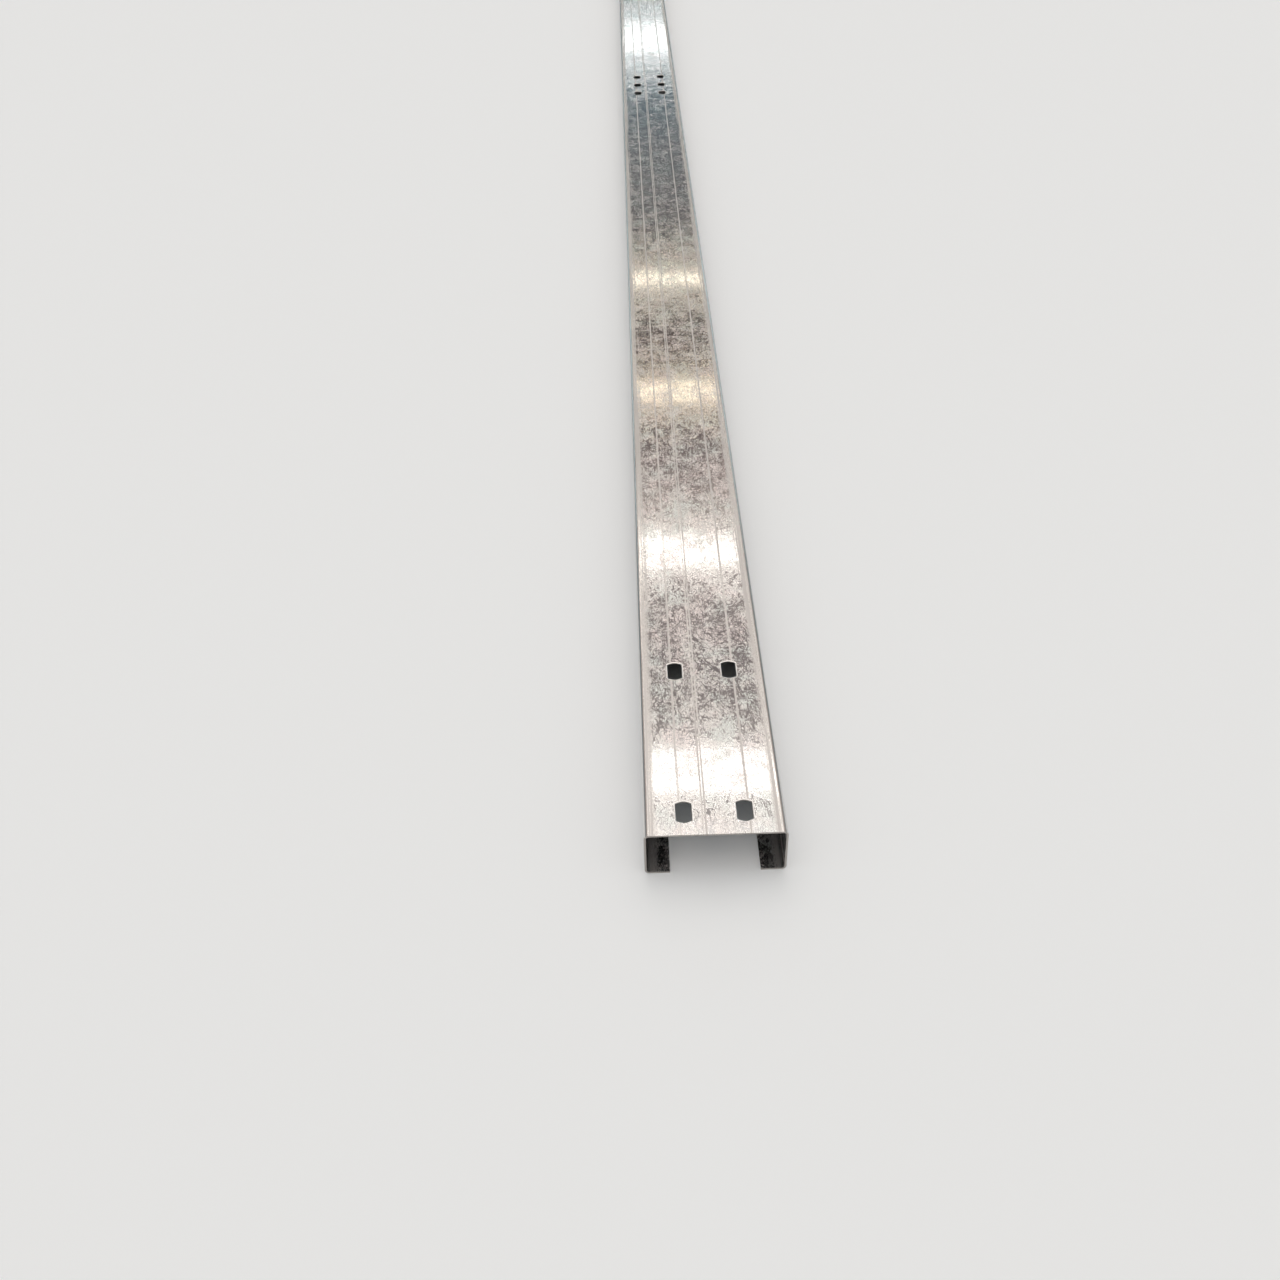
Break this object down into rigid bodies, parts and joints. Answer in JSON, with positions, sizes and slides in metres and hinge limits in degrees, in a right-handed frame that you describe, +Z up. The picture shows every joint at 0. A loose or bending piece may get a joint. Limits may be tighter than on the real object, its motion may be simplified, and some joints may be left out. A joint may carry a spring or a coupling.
{
  "type": "lipped c channel",
  "caption": "Long lipped C channel bent from galvanised steel sheet, with bolt slots punched through its web near both ends and at mid length.",
  "frame": {"origin": "midway along the channel and midway across its web, level with the undersides of the lips", "axes": "+X along the channel, +Y across its web, +Z up through the outer face of the web"},
  "size_m": [5, 0.14, 0.055],
  "materials": {
    "galvanised_steel": "hot-dip galvanised, fine dull spangle with long roll lines"
  },
  "bodies": {
    "root": {"c_channel": "galvanised_steel"}
  },
  "joints": []
}
